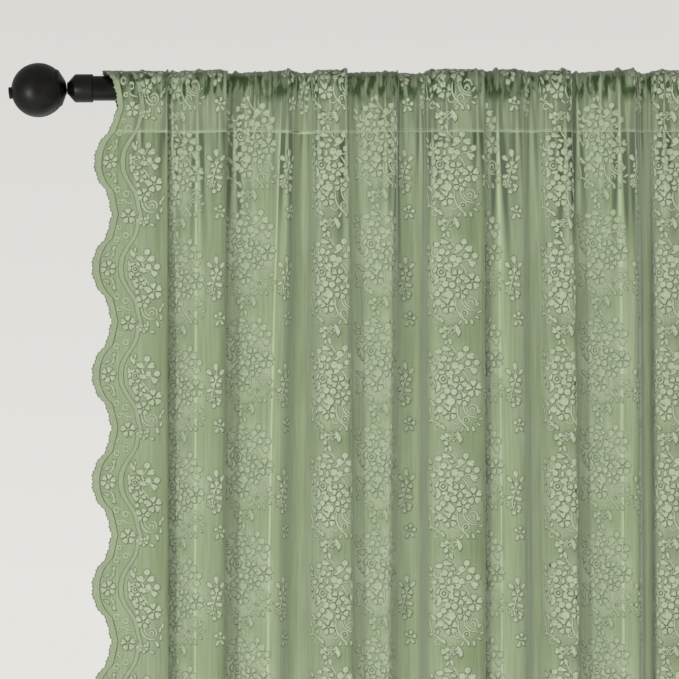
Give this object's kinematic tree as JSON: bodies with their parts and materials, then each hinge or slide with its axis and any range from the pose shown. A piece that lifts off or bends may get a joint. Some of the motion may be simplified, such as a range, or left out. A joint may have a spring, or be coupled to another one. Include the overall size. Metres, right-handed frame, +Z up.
{
  "type": "lace curtain on a rod",
  "caption": "Sheer floral lace panel with scalloped side edges, gathered by its rod pocket on a slim dark rod with ball finials.",
  "frame": {"origin": "on the rod's axis at mid-length, where the wall's brackets hold it", "axes": "+X along the rod, +Y towards the wall, +Z up"},
  "size_m": [0.9078, 0.0636, 2.1441],
  "materials": {
    "lace": "matt sage-green machine lace",
    "dark_metal": "satin black-bronze paint"
  },
  "bodies": {
    "root": {"lace_panel": "lace", "rod": "dark_metal", "finial_collar_left": "dark_metal", "finial_collar_right": "dark_metal", "finial_ball_left": "dark_metal", "finial_ball_right": "dark_metal"}
  },
  "joints": []
}
